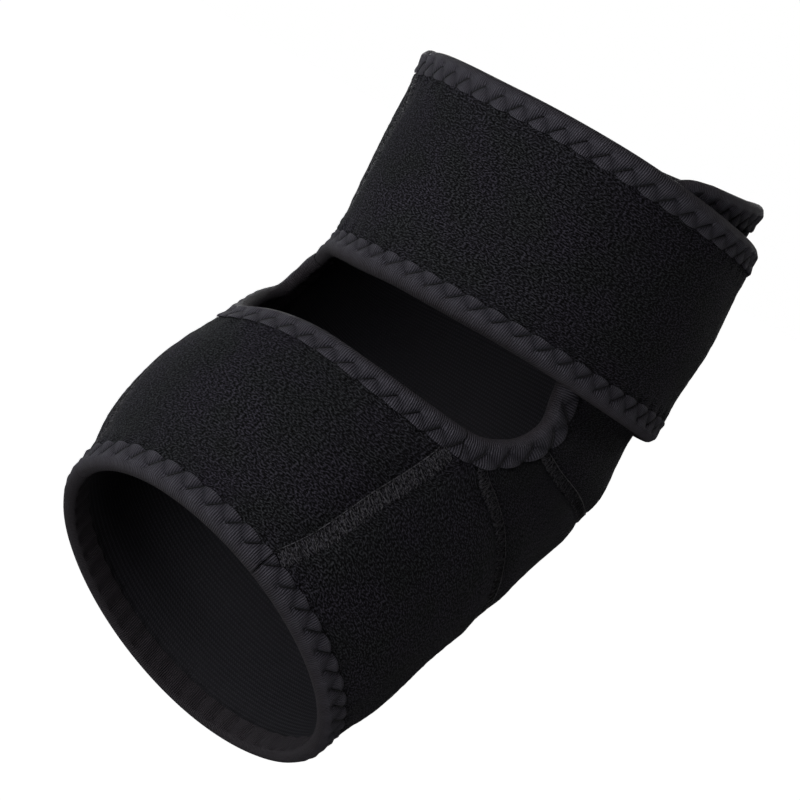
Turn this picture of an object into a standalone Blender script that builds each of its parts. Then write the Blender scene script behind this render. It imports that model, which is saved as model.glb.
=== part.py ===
"""An elbow support as it is worn, on an elbow bent by FLEXION.

The origin is the centre of the elbow, +Z runs up the upper arm, -Y is the inner side of the
elbow with the window, and +X is the side on which the upper strap laps over the panel.
Every edge and seam is a path of two columns: the angle round the arm in degrees, from the
front over +X, and the distance along the arm in metres, from the elbow's centre upwards.
The cloth is always on the left of a rim, seen from outside.
"""

import math

import bmesh
import bpy
import numpy as np

# The arm that the support is shaped on
FLEXION = 38.7              # degrees
BEND_LENGTH = 0.060         # the stretch of the arm's axis that is bent
HALF_WIDTH = 0.050
FRONT_DEPTH = 0.050
BACK_DEPTH = 0.050

# The support's edges, measured from the elbow's centre
UPPER_LENGTH = 0.0737       # up to the top edge on the near side
TOP_DIP = 0.0045            # how much lower the top edge is at the back
TOP_DIP_TURN = 125.0
TOP_DIP_EASE = 70.0
FOREARM_LENGTH = 0.0978     # down to the cuff's edge
WINDOW_DROP = 0.0390        # down to the window's lower edge in front
CUFF_LIFT = 0.0034          # how much higher the cuff's edge is in front than at the sides
CUFF_TILT = 0.0036          # how much higher it is on the near side
STRAP_TOP_DROP = 0.0082     # the fall of the strap's top edge on its way round the side
STRAP_TOP_PEAK = 15.6       # the angle at which that edge is highest
STRAP_TOP_LIFT = 0.0013     # how much it rises again towards its root
STRAP_TOP_LIFT_TURN = 5.0   # the angle from which it rises
STRAP_LOWER_EDGE = 0.0106   # how far above the elbow's centre the strap's lower edge lies
STRAP_END = 165.0           # the angle that the strap's free end reaches
STRAP_CORNER = 0.012

# Cloth, tape and seams
CLOTH = 0.0022
TAPE = 0.0005
TAPE_WIDTH = 0.0068
SEAM_TAPE = 0.0005
FLAT_SEAM_WIDTH = 0.0048
GUSSET_SEAM_WIDTH = 0.0030
SEAM_PULL = 0.0011          # how deep a seam draws the cloth in
SEAM_PULL_WIDTH = 0.0070
SEAM_PULL_START = 0.0088    # from a rim to where a seam starts to draw the cloth in
STRAP_PRESS = 0.0022        # how deep the strap presses the panel that it lies on
PRESS_FADE = 0.0160         # the length in which the panel rises again below the strap
STRAP_RAMP = 40.0           # the angle in which the strap climbs onto the panel
EARLY = 0.1                 # the share of such a rise by which it is over before the edge
HOOK_TURN = 30.0            # the hook patch's angle round the arm
GAP = 0.0003
TAPE_GAP = 0.0004           # between the cloth and the tape folded over it

# The size of a facet, the turn of a path from one facet to the next, and each panel's rows
CELL = 0.0074
TURN = 16.0                 # degrees
GUSSET_ROWS = 6
LOWER_ROWS = 9
WINDOW_COLUMNS = 4
UPPER_ROWS = 13
STRAP_ROWS = 13
INSET_STEP = 0.0008
SLOPE_TURN = 0.1            # the steps, in degrees and metres, in which the form's slopes are taken
SLOPE_LENGTH = 0.0001
SAMPLES = 121               # points along a line or a curve before it is cut into facets

HEM = CLOTH / 2 + TAPE_GAP + TAPE       # half the thickness of a bound edge
FOLD = 0.9 * HEM                        # from a bound edge to where its tape lies flat
CLOTH_INSET = FOLD + TAPE               # from a bound edge to the cloth inside its tape
STRAP_CLIMB = 2 * HEM + GAP - STRAP_PRESS
HOOK = STRAP_CLIMB + STRAP_PRESS - CLOTH - 2 * GAP
ONE_DEGREE = math.radians(HALF_WIDTH)   # its length round the arm
# Half the gap between two cloths at a seam, whose outer corners lean in where it draws them down
SEAM_GAP = GAP / 2 + 1.8 * CLOTH * SEAM_PULL / SEAM_PULL_WIDTH

# Sections of the arm. along: share of the forearm's length below the elbow's centre and of
# the upper length above it. near, far: shares of the half width. front, back: of the depths.
SECTIONS = (
    ("along", "near", "far", "front", "back"),
    (-1.20, 0.905, 0.837, 0.900, 0.941),
    (-1.00, 0.909, 0.859, 0.926, 0.939),
    (-0.92, 0.917, 0.896, 0.969, 0.934),
    (-0.80, 0.972, 1.020, 1.031, 0.932),
    (-0.60, 0.986, 1.055, 1.133, 0.874),
    (-0.42, 1.000, 0.965, 1.112, 0.886),
    (-0.24, 0.974, 0.986, 1.128, 0.883),
    (-0.06, 0.976, 0.976, 1.026, 0.944),
    (0.16, 0.948, 0.912, 0.976, 0.952),
    (0.30, 0.943, 0.960, 0.933, 1.019),
    (0.45, 0.968, 0.979, 0.905, 1.050),
    (0.67, 0.966, 0.983, 0.899, 1.039),
    (0.90, 0.961, 0.964, 0.903, 1.003),
    (1.00, 0.982, 0.984, 0.870, 1.006),
    (1.21, 0.995, 0.997, 0.848, 1.009),
)

# The rim of the body from the panel's near top corner down its free front edge. turn: degrees.
# rise: share of the upper length.
FRONT_EDGE = (
    ("turn", "rise"),
    (78.0, 1.000),
    (68.0, 0.985),
    (60.0, 0.935),
    (53.5, 0.850),
    (50.5, 0.710),
    (52.0, 0.550),
    (57.8, 0.370),
    (62.4, 0.180),
    (64.1, 0.020),
)

# The rim goes on round the window to the root of the upper strap. turn: degrees. drop: share
# of the window's drop.
WINDOW_EDGE = (
    ("turn", "drop"),
    (64.4, 0.210),
    (63.4, 0.430),
    (60.3, 0.590),
    (56.8, 0.690),
    (51.8, 0.765),
    (44.0, 0.835),
    (32.0, 0.915),
    (18.0, 0.975),
    (2.0, 1.010),
    (-14.0, 1.050),
    (-28.0, 1.070),
    (-40.0, 1.000),
    (-50.2, 0.820),
    (-58.5, 0.600),
    (-62.8, 0.420),
    (-60.6, 0.270),
    (-57.8, 0.120),
    (-55.7, 0.020),
)

# The upper strap's lower edge from its root to the level stretch on the near side. turn:
# degrees. rise: share of that stretch's height.
STRAP_LOWER = (
    ("turn", "rise"),
    (-48.0, 0.26),
    (-38.0, 0.33),
    (-27.0, 0.25),
    (-14.0, 0.19),
    (0.0, 0.52),
    (14.0, 0.76),
    (28.0, 0.91),
    (42.0, 0.98),
    (58.0, 1.00),
    (80.0, 1.00),
)

# The gusset's seams from the window's near rim to the back of the elbow. The far half mirrors
# them. turn: degrees. drop: share of the window's drop.
GUSSET_LOWER_SEAM = (
    ("turn", "drop"),
    (56.0, 0.69),
    (61.0, 0.80),
    (66.0, 0.85),
    (74.0, 0.85),
    (84.0, 0.88),
    (96.0, 0.96),
    (112.0, 1.03),
    (132.0, 1.09),
    (156.0, 1.13),
    (180.0, 1.15),
)
GUSSET_UPPER_SEAM = (
    ("turn", "drop"),
    (63.0, 0.27),
    (68.0, 0.31),
    (74.0, 0.32),
    (82.0, 0.30),
    (94.0, 0.26),
    (110.0, 0.23),
    (132.0, 0.18),
    (156.0, 0.14),
    (180.0, 0.12),
)

# The lower strap's seams, from the cuff to the window, and the root of the upper strap at the
# panel's top edge, by their angles.
SEAM_NEAR_CUFF_TURN = 42.0
SEAM_NEAR_WINDOW_TURN = 52.0
SEAM_NEAR_BOW = 4.0
SEAM_FAR_CUFF_TURN = -46.0
SEAM_FAR_WINDOW_TURN = -45.0
ROOT_TOP_TURN = -42.0

# The middle of the panel's round near corner.
PANEL_CORNER_TURN = 58.0
PANEL_CORNER_RISE = 0.92

COLOURS = {                 # linear colour and roughness
    "pile_cloth": ((0.010, 0.010, 0.013), 0.95),
    "knit_tape": ((0.018, 0.018, 0.023), 0.80),
    "seam_thread": ((0.022, 0.022, 0.027), 0.75),
    "hook_tape": ((0.008, 0.008, 0.009), 0.70),
}


def smooth(x):
    x = np.clip(x, 0.0, 1.0)
    return x * x * (3.0 - 2.0 * x)


def hermite(x, knots, values):
    """A smooth curve through the values at the knots."""
    slopes = np.gradient(values, knots)
    i = np.clip(np.searchsorted(knots, x) - 1, 0, len(knots) - 2)
    h = knots[i + 1] - knots[i]
    u = np.clip((x - knots[i]) / h, 0.0, 1.0)
    start = values[i] * (1 + 2 * u) + h * slopes[i] * u
    end = values[i + 1] * (3 - 2 * u) - h * slopes[i + 1] * (1 - u)
    return start * (1 - u) ** 2 + end * u**2


# The arm's form

def spine_table():
    """The bent axis of the arm: distance, y, z and the angle from the vertical."""
    flexion = math.radians(FLEXION)
    s = np.linspace(BEND_LENGTH / 2, -BEND_LENGTH / 2, SAMPLES)
    lean = flexion * smooth(0.5 - s / BEND_LENGTH)
    step = s[0] - s[1]
    middle = (lean[1:] + lean[:-1]) / 2
    y = -np.concatenate(([0.0], np.cumsum(np.sin(middle)))) * step
    z = -np.concatenate(([0.0], np.cumsum(np.cos(middle)))) * step
    crossing = z[-1] - y[-1] / math.tan(flexion)
    return s[::-1], y[::-1], (z - crossing)[::-1], lean[::-1]


SPINE_S, SPINE_Y, SPINE_Z, SPINE_LEAN = spine_table()
SECTION_ROWS = np.array(SECTIONS[1:])
SECTION_S = SECTION_ROWS[:, 0] * np.where(SECTION_ROWS[:, 0] < 0, FOREARM_LENGTH, UPPER_LENGTH)


def share(s, column):
    return hermite(s, SECTION_S, SECTION_ROWS[:, column])


def form(path):
    """Points on the arm's form, in the middle of the cloth that lies on it."""
    theta = np.radians(path[..., 0])
    s = path[..., 1]
    lean = np.interp(s, SPINE_S, SPINE_LEAN)
    past = s - np.clip(s, SPINE_S[0], SPINE_S[-1])
    y = np.interp(s, SPINE_S, SPINE_Y) + past * np.sin(lean)
    z = np.interp(s, SPINE_S, SPINE_Z) + past * np.cos(lean)
    side = HALF_WIDTH * np.where(np.sin(theta) > 0, share(s, 1), share(s, 2)) - CLOTH / 2
    front = FRONT_DEPTH * share(s, 3) - CLOTH / 2
    back = BACK_DEPTH * share(s, 4) - CLOTH / 2
    reach = np.where(np.cos(theta) > 0, front, back) * np.cos(theta)
    return np.stack((side * np.sin(theta), y - reach * np.cos(lean), z + reach * np.sin(lean)), -1)


def tangents(path):
    """How the form runs with a path's two columns, and its outward normal."""
    turn = (SLOPE_TURN, 0)
    length = (0, SLOPE_LENGTH)
    by_turn = (form(path + turn) - form(path - turn)) / (2 * SLOPE_TURN)
    by_length = (form(path + length) - form(path - length)) / (2 * SLOPE_LENGTH)
    normal = np.cross(by_turn, by_length)
    return by_turn, by_length, normal / np.linalg.norm(normal, axis=-1, keepdims=True)


def arm(path, out):
    """Points at a height above the form."""
    return form(path) + np.asarray(out)[..., None] * tangents(path)[2]


# Paths on the arm

def smooth_path(rows, steps=12):
    knots = np.arange(len(rows), dtype=float)
    x = np.linspace(0, len(rows) - 1, (len(rows) - 1) * steps + 1)
    return np.stack((hermite(x, knots, rows[:, 0]), hermite(x, knots, rows[:, 1])), -1)


def lengths(path):
    """The distance along a path, in metres, at each of its points."""
    return np.concatenate(([0.0], np.cumsum(np.linalg.norm(np.diff(form(path), axis=0), axis=1))))


def at(path, distance):
    x = lengths(path)
    return np.stack((np.interp(distance, x, path[:, 0]), np.interp(distance, x, path[:, 1])), -1)


def place(path, turn, s):
    """How far along a path the point of it nearest to a given one lies."""
    apart = np.linalg.norm(form(path) - form(np.array((turn, s))), axis=-1)
    return lengths(path)[apart.argmin()]


def nearest(path, turn, s):
    return at(path, np.array([place(path, turn, s)]))


def part_of(path, start, end):
    """The stretch of a path between two distances along it."""
    x = lengths(path)
    inside = path[(x > start + 1e-6) & (x < end - 1e-6)]
    return np.concatenate((at(path, np.array([start])), inside, at(path, np.array([end]))))


def trimmed(path, start, end):
    """A path with a length cut off at each end."""
    return part_of(path, start, lengths(path)[-1] - end)


def direction(path):
    """A path's direction and the direction to its left, on the form."""
    ahead = np.gradient(form(path), lengths(path), axis=0)
    ahead /= np.linalg.norm(ahead, axis=1, keepdims=True)
    return ahead, np.cross(tangents(path)[2], ahead)


def inset(path, distance):
    """The path moved to its left over the arm by a distance, in short steps."""
    steps = max(1, math.ceil(abs(distance) / INSET_STEP))
    for _ in range(steps):
        by_turn, by_length, _ = tangents(path)
        left = direction(path)[1]
        turn = (left * by_turn).sum(1) / (by_turn**2).sum(1)
        length = (left * by_length).sum(1) / (by_length**2).sum(1)
        path = path + distance / steps * np.stack((turn, length), -1)
    return path


def facets(path, count=None):
    """Places along a path, by its rows, a facet apart and closer where it turns to a side."""
    ahead, left = direction(path)
    bend = np.abs((np.diff(ahead, axis=0) * left[1:]).sum(1))
    measure = np.concatenate(([0.0], np.cumsum(np.diff(lengths(path)) / CELL + bend / math.radians(TURN))))
    count = count or max(2, round(measure[-1]) + 1)
    return np.interp(np.linspace(0, measure[-1], count), measure, np.arange(len(path)))


def take(path, places):
    rows = np.arange(len(path))
    return np.stack((np.interp(places, rows, path[:, 0]), np.interp(places, rows, path[:, 1])), -1)


def stations(path, count=None):
    return take(path, facets(path, count))


def far(path):
    """The same path one turn further round, for a piece that passes behind the arm."""
    return path + (360.0, 0.0)


# The rims

def strap_top(turn):
    drop = STRAP_TOP_DROP * (1 - np.cos(np.radians(turn - STRAP_TOP_PEAK)))
    to_root = (STRAP_TOP_LIFT_TURN - turn) / (STRAP_TOP_LIFT_TURN - ROOT_TOP_TURN)
    return UPPER_LENGTH - drop + STRAP_TOP_LIFT * smooth(to_root)


def body_rim():
    """The panel's top edge from the strap's root to the near corner, and on round the window."""
    front = np.array(FRONT_EDGE[1:]) * (1, UPPER_LENGTH)
    window = np.array(WINDOW_EDGE[1:]) * (1, -WINDOW_DROP)
    turn = np.linspace(ROOT_TOP_TURN + 360.0, front[0, 0], SAMPLES)
    to_root = smooth((turn - front[0, 0]) / (turn[0] - front[0, 0]))
    height = UPPER_LENGTH + (strap_top(ROOT_TOP_TURN) - UPPER_LENGTH) * to_root
    dip = TOP_DIP * smooth((turn - TOP_DIP_TURN) / TOP_DIP_EASE) * smooth((turn[0] - turn) / TOP_DIP_EASE)
    top = np.stack((turn, height - dip), -1)
    return np.concatenate((top[:-1], smooth_path(np.concatenate((front, window)))))


def strap_rim(root):
    """The strap's lower edge, its free end with round corners, and its top edge."""
    rows = np.array(STRAP_LOWER[1:]) * (1, STRAP_LOWER_EDGE)
    lower = smooth_path(np.concatenate((root, rows)))
    centre = STRAP_END - STRAP_CORNER / ONE_DEGREE
    arc = np.radians(np.linspace(0, 90, SAMPLES // 6))
    corner = STRAP_CORNER * np.stack((np.sin(arc) / ONE_DEGREE, 1 - np.cos(arc)), -1)
    low_corner = (centre, STRAP_LOWER_EDGE) + corner
    high_corner = (centre, strap_top(centre)) + corner[::-1] * (1, -1)
    level = np.linspace(lower[-1], low_corner[0], SAMPLES)[1:-1]
    end = np.linspace(low_corner[-1], high_corner[0], SAMPLES // 3)[1:-1]
    turn = np.linspace(centre, ROOT_TOP_TURN, SAMPLES)[1:]
    top = np.stack((turn, strap_top(turn)), -1)
    return np.concatenate((lower, level, low_corner, end, high_corner, top))


def cuff_rim(start, end):
    turn = np.linspace(start, end, SAMPLES)
    angle = np.radians(turn)
    lift = CUFF_LIFT * np.cos(angle) + CUFF_TILT * np.sin(angle)
    return np.stack((turn, lift - FOREARM_LENGTH), -1)


BODY = body_rim()
STRAP = strap_rim(BODY[-1:])
CUFF = cuff_rim(-180.0, 180.0)


# The seams

def gusset_seam(table):
    """A seam from the window's near rim round the elbow to its far rim."""
    near = np.array(table[1:]) * (1, -WINDOW_DROP)
    rows = np.concatenate((near, far(near[-2::-1] * (-1, 1))))
    start = nearest(BODY, *rows[0])
    end = far(nearest(BODY, *rows[-1]))
    return smooth_path(np.concatenate((start, rows[1:-1], end)))


def straight_seam(low, high):
    return low + (high - low) * np.linspace(0, 1, SAMPLES // 2)[:, None]


def lower_strap_seam(cuff_turn, window_turn, bow):
    rim = WINDOW[np.abs(WINDOW[:, 0] - window_turn).argmin()]
    path = straight_seam(nearest(CUFF, cuff_turn, -FOREARM_LENGTH), rim[None])
    share = np.linspace(0, 1, len(path))
    path[:, 0] += 4 * bow * share * (1 - share)
    return path


WINDOW = part_of(BODY, place(BODY, 63.0, 0.0), lengths(BODY)[-1])
GUSSET_LOWER = gusset_seam(GUSSET_LOWER_SEAM)
GUSSET_UPPER = gusset_seam(GUSSET_UPPER_SEAM)
SEAM_NEAR = lower_strap_seam(SEAM_NEAR_CUFF_TURN, SEAM_NEAR_WINDOW_TURN, SEAM_NEAR_BOW)
SEAM_FAR = lower_strap_seam(SEAM_FAR_CUFF_TURN, SEAM_FAR_WINDOW_TURN, 0.0)
ROOT = straight_seam(STRAP[:1], STRAP[-1:])


# The layers that lie on the arm

SEAMS = (GUSSET_LOWER, GUSSET_UPPER, SEAM_NEAR, SEAM_FAR, ROOT)
SEAM_POINTS = np.concatenate([form(seam) for seam in SEAMS])
RIM_POINTS = np.concatenate([form(rim) for rim in (BODY, STRAP, CUFF)])


def clearance(points, others):
    """The distance from each point to the nearest of some others."""
    apart = [np.linalg.norm(others - p, axis=1).min() for p in points.reshape(-1, 3)]
    return np.array(apart).reshape(points.shape[:-1])


def seam_pull(path):
    """How deep the seams draw the cloth in, which fades out under the tape of a rim."""
    points = form(path)
    near_seam = np.clip(1 - clearance(points, SEAM_POINTS) / SEAM_PULL_WIDTH, 0, 1)
    past_tape = clearance(points, RIM_POINTS) - SEAM_PULL_START
    return SEAM_PULL * near_seam * smooth(past_tape / TAPE_WIDTH)


def press(path):
    """How deep the upper strap presses the body, under it and fading out round it."""
    turn, s = path[..., 0], path[..., 1]
    above = smooth((s - STRAP_LOWER_EDGE) / PRESS_FADE + 1 + EARLY)
    before_end = smooth((STRAP_END - turn) / STRAP_RAMP + 1 + EARLY)
    return STRAP_PRESS * above * before_end * (turn > 0)


def climb(path):
    """How high the upper strap lies, after its ramp up to the panel's front edge."""
    turn, rise = np.array(FRONT_EDGE[:0:-1]).T
    edge = np.interp(path[..., 1], rise * UPPER_LENGTH, turn)
    return STRAP_CLIMB * smooth((path[..., 0] - edge) / STRAP_RAMP + 1 + EARLY)


def body_layer(path, out):
    return arm(path, out - press(path) - seam_pull(path))


def strap_layer(path, out):
    return arm(path, out + climb(path) - seam_pull(path))


# The making of meshes

def new_material(name):
    colour, roughness = COLOURS[name]
    material = bpy.data.materials.new(name)
    material.use_nodes = True
    shader = material.node_tree.nodes["Principled BSDF"]
    shader.inputs["Base Color"].default_value = (*colour, 1.0)
    shader.inputs["Roughness"].default_value = roughness
    material.diffuse_color = (*colour, 1.0)
    return material


def add_sheet(name, points, thickness, material):
    """A sheet whose middle runs through rows of points, made solid to both sides."""
    rows, columns = points.shape[:2]
    bm = bmesh.new()
    bmesh.ops.create_grid(bm, x_segments=columns - 1, y_segments=rows - 1, size=1.0)
    for vertex in bm.verts:
        column = round((vertex.co.x + 1) / 2 * (columns - 1))
        row = round((vertex.co.y + 1) / 2 * (rows - 1))
        vertex.co = points[row, column]
    mesh = bpy.data.meshes.new(name)
    bm.to_mesh(mesh)
    bm.free()
    mesh.materials.append(new_material(material))
    mesh.shade_smooth()
    obj = bpy.data.objects.new(name, mesh)
    solid = obj.modifiers.new("Solidify", "SOLIDIFY")
    solid.thickness = thickness
    solid.offset = 0.0
    solid.use_even_offset = True
    PARTS.objects.link(obj)


def patch(low, high, left, right):
    """A net of points between four edges, whose corners are those of low and high."""
    left, right = left.copy(), right.copy()
    left[0], left[-1], right[0], right[-1] = low[0], high[0], low[-1], high[-1]
    t = np.linspace(0, 1, len(left))[:, None, None]
    v = np.linspace(0, 1, len(low))[None, :, None]
    between = (1 - t) * low + t * high
    left_bow = left[:, None] - between[:, :1]
    right_bow = right[:, None] - between[:, -1:]
    return between + (1 - v) * left_bow + v * right_bow


def add_panel(name, layer, edges):
    add_sheet(name, layer(patch(*edges), 0.0), CLOTH, "pile_cloth")


def add_binding(name, layer, rim):
    """A tape folded over a rim."""
    height = HEM - TAPE / 2
    middle = (FOLD + TAPE_WIDTH) / 2
    inside = ((TAPE_WIDTH, -height), (middle, -height), (FOLD, -height))
    profile = (*inside, (TAPE / 2, 0.0), (FOLD, height), (TAPE_WIDTH, height))
    path = trimmed(rim, GAP / 2, GAP / 2)
    places = facets(path)
    rows = [layer(take(inset(path, d), places), out) for d, out in profile]
    add_sheet(name, np.array(rows), TAPE, "knit_tape")


def add_seam(name, layer, seam, width):
    """A flat stitched strip over a seam, between the tapes at its two ends."""
    sides = [clearance(form(inset(seam, d)), RIM_POINTS) for d in (-width / 2, width / 2)]
    path = seam[np.minimum(*sides) > TAPE_WIDTH + 2 * GAP]
    places = facets(path)
    height = CLOTH / 2 + TAPE_GAP + SEAM_TAPE / 2
    rows = [layer(take(inset(path, d), places), height) for d in (-width / 2, 0.0, width / 2)]
    add_sheet(name, np.array(rows), SEAM_TAPE, "seam_thread")


def add_hook_patch():
    """The hook fastener inside the strap's free end, which grips the panel's pile."""
    clear = CLOTH_INSET + TAPE_WIDTH
    turn = STRAP_END - clear / ONE_DEGREE
    columns = np.linspace(turn - HOOK_TURN, turn, 5)
    rows = np.linspace(0, 1, 8)[:, None]
    low = STRAP_LOWER_EDGE + clear
    s = low + (strap_top(columns) - clear - low) * rows
    net = np.stack((np.broadcast_to(columns, s.shape), s), -1)
    add_sheet("hook_patch", strap_layer(net, -(CLOTH + HOOK) / 2 - GAP), HOOK, "hook_tape")


# The pieces

def rim_cloth(start, end):
    """The cloth's edge inside the body's tape, between two seams' distances along the rim."""
    return inset(part_of(BODY, start + SEAM_GAP, end - SEAM_GAP), CLOTH_INSET)


def cuff_cloth(start, end):
    """The cloth's edge inside the cuff's tape, between two seams' angles."""
    return inset(trimmed(cuff_rim(start, end), SEAM_GAP, SEAM_GAP), CLOTH_INSET)


def seam_cloth(seam, count=None):
    """The two cloth edges at a seam: on its left and on its right."""
    path = trimmed(seam, CLOTH_INSET, CLOTH_INSET)
    places = facets(path, count)
    return take(inset(path, SEAM_GAP), places), take(inset(path, -SEAM_GAP), places)


def add_cloth():
    corner = place(BODY, PANEL_CORNER_TURN, PANEL_CORNER_RISE * UPPER_LENGTH)
    on_body = {
        "upper near": place(BODY, *GUSSET_UPPER[0]),
        "lower near": place(BODY, *GUSSET_LOWER[0]),
        "strap near": place(BODY, *SEAM_NEAR[-1]),
        "strap far": place(BODY, *SEAM_FAR[-1]),
        "lower far": place(BODY, *GUSSET_LOWER[-1]),
        "upper far": place(BODY, *GUSSET_UPPER[-1]),
    }
    end = lengths(BODY)[-1]
    near_left, near_right = seam_cloth(SEAM_NEAR, LOWER_ROWS)
    far_left, far_right = seam_cloth(SEAM_FAR, LOWER_ROWS)
    upper_left, upper_right = seam_cloth(GUSSET_UPPER)
    columns = len(upper_left)
    lower_left, lower_right = seam_cloth(GUSSET_LOWER, columns)

    near_rim = stations(rim_cloth(on_body["upper near"], on_body["lower near"])[::-1], GUSSET_ROWS)
    far_rim = stations(far(rim_cloth(on_body["lower far"], on_body["upper far"])), GUSSET_ROWS)
    add_panel("elbow_gusset", body_layer, (lower_left, upper_right, near_rim, far_rim))

    near_rim = rim_cloth(on_body["lower near"], on_body["strap near"])[::-1]
    near_rim = stations(near_rim, WINDOW_COLUMNS)
    far_rim = rim_cloth(on_body["strap far"], on_body["lower far"])[::-1]
    far_rim = stations(far(far_rim), WINDOW_COLUMNS)
    top = np.concatenate((near_rim[:-1], lower_right, far_rim[1:]))
    cuff = stations(cuff_cloth(SEAM_NEAR[0, 0], far(SEAM_FAR)[0, 0]), len(top))
    add_panel("lower_panel", body_layer, (cuff, top, near_right, far(far_left)))

    top = stations(rim_cloth(on_body["strap near"], on_body["strap far"])[::-1])
    cuff = stations(cuff_cloth(SEAM_FAR[0, 0], SEAM_NEAR[0, 0]), len(top))
    add_panel("lower_strap", body_layer, (cuff, top, far_right, near_left))

    root_left, root_right = seam_cloth(ROOT)
    right = far(np.concatenate((rim_cloth(on_body["upper far"], end - CLOTH_INSET), root_left)))
    left = stations(rim_cloth(corner, on_body["upper near"])[::-1], UPPER_ROWS)
    top = stations(rim_cloth(0.0, corner)[::-1], columns)
    add_panel("upper_panel", body_layer, (upper_left, top, left, stations(right, UPPER_ROWS)))

    turn = STRAP_END - STRAP_CORNER / ONE_DEGREE
    corner_low = place(STRAP, turn, STRAP_LOWER_EDGE)
    corner_high = place(STRAP, turn, strap_top(turn))
    low = stations(inset(part_of(STRAP, 0.0, corner_low), CLOTH_INSET))
    end = stations(inset(part_of(STRAP, corner_low, corner_high), CLOTH_INSET), STRAP_ROWS)
    top = inset(part_of(STRAP, corner_high, lengths(STRAP)[-1]), CLOTH_INSET)[::-1]
    root = stations(root_right, STRAP_ROWS)
    add_panel("upper_strap", strap_layer, (low, stations(top, len(low)), root, end))
    return on_body


def add_trim(on_body):
    end = lengths(BODY)[-1]
    near, far_side = on_body["strap near"], on_body["strap far"]
    add_binding("body_binding", body_layer, part_of(BODY, 0.0, near))
    add_binding("lower_strap_binding", body_layer, part_of(BODY, near, far_side))
    add_binding("window_binding_far", body_layer, part_of(BODY, far_side, end))
    add_binding("upper_strap_binding", strap_layer, STRAP)
    near_turn, far_turn = SEAM_NEAR[0, 0], SEAM_FAR[0, 0]
    add_binding("cuff_binding_strap", body_layer, cuff_rim(far_turn, near_turn))
    add_binding("cuff_binding_panel", body_layer, cuff_rim(near_turn, far_turn + 360.0))
    add_seam("lower_strap_seam_near", body_layer, SEAM_NEAR, FLAT_SEAM_WIDTH)
    add_seam("lower_strap_seam_far", body_layer, SEAM_FAR, FLAT_SEAM_WIDTH)
    add_seam("upper_strap_seam", body_layer, ROOT, FLAT_SEAM_WIDTH)
    add_seam("gusset_seam_upper", body_layer, GUSSET_UPPER, GUSSET_SEAM_WIDTH)
    add_seam("gusset_seam_lower", body_layer, GUSSET_LOWER, GUSSET_SEAM_WIDTH)


for old in list(bpy.data.objects):
    bpy.data.objects.remove(old, do_unlink=True)
PARTS = bpy.data.collections.new("elbow_support")
bpy.context.scene.collection.children.link(PARTS)
add_trim(add_cloth())
add_hook_patch()
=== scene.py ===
"""The looks of the elbow support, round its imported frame.

A path has two columns: the angle round the arm in degrees, from the front over +X, and the
distance along the arm in metres, from the elbow's centre upwards. The cloth is always on the
left of a rim, seen from outside. The arm's form, the rims and the seams are those of the part.
"""

import math

import bpy
import numpy as np
from mathutils import Matrix, Vector, kdtree


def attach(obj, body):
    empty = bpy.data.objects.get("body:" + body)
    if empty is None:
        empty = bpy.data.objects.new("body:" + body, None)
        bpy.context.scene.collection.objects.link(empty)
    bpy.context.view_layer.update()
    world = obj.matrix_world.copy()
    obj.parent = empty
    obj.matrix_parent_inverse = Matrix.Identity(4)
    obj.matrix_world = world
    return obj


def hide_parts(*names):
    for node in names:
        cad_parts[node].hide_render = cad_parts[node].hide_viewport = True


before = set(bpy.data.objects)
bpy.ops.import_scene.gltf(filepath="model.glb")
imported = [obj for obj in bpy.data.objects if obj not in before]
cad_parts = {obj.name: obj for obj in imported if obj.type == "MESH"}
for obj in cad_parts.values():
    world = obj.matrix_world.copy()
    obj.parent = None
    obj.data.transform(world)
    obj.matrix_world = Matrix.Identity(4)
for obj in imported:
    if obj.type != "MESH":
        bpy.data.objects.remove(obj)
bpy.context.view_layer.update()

# The arm that the support is shaped on
FLEXION = 38.7  # degrees
BEND_LENGTH = 0.060  # the stretch of the arm's axis that is bent
HALF_WIDTH = 0.050
FRONT_DEPTH = 0.050
BACK_DEPTH = 0.050

# The support's edges, measured from the elbow's centre
UPPER_LENGTH = 0.0737  # up to the top edge on the near side
TOP_DIP = 0.0045  # of the top edge at the back
TOP_DIP_TURN = 125.0
TOP_DIP_EASE = 70.0
FOREARM_LENGTH = 0.0978  # down to the cuff's edge
WINDOW_DROP = 0.0390  # down to the window's lower edge in front
WINDOW_TURN = 63.0  # of the rim beside the elbow's centre
CUFF_LIFT = 0.0034  # of the cuff's edge in front
CUFF_TILT = 0.0036  # the same on the near side
STRAP_TOP_DROP = 0.0082  # of its top edge on its way round the side
STRAP_TOP_PEAK = 15.6
STRAP_TOP_LIFT = 0.0013  # of that edge towards its root
STRAP_TOP_LIFT_TURN = 5.0
STRAP_LOWER_EDGE = 0.0106
STRAP_END = 165.0
STRAP_CORNER = 0.012
STRAP_PRESS = 0.0022  # how deep it presses the panel
PRESS_FADE = 0.0160  # below the strap, until the panel has risen again
STRAP_RAMP = 40.0  # the angle in which it climbs onto the panel
EARLY = 0.1  # the share of such a rise by which it is over before the edge
HOOK_TURN = 30.0

# The angles of the lower strap's seams at the cuff and the window, and of the strap's root
SEAM_NEAR_CUFF_TURN = 42.0
SEAM_NEAR_WINDOW_TURN = 52.0
SEAM_NEAR_BOW = 4.0
SEAM_FAR_CUFF_TURN = -46.0
SEAM_FAR_WINDOW_TURN = -45.0
ROOT_TOP_TURN = -42.0

# The middle of the panel's round near corner
PANEL_CORNER_TURN = 58.0
PANEL_CORNER_RISE = 0.92

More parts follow.
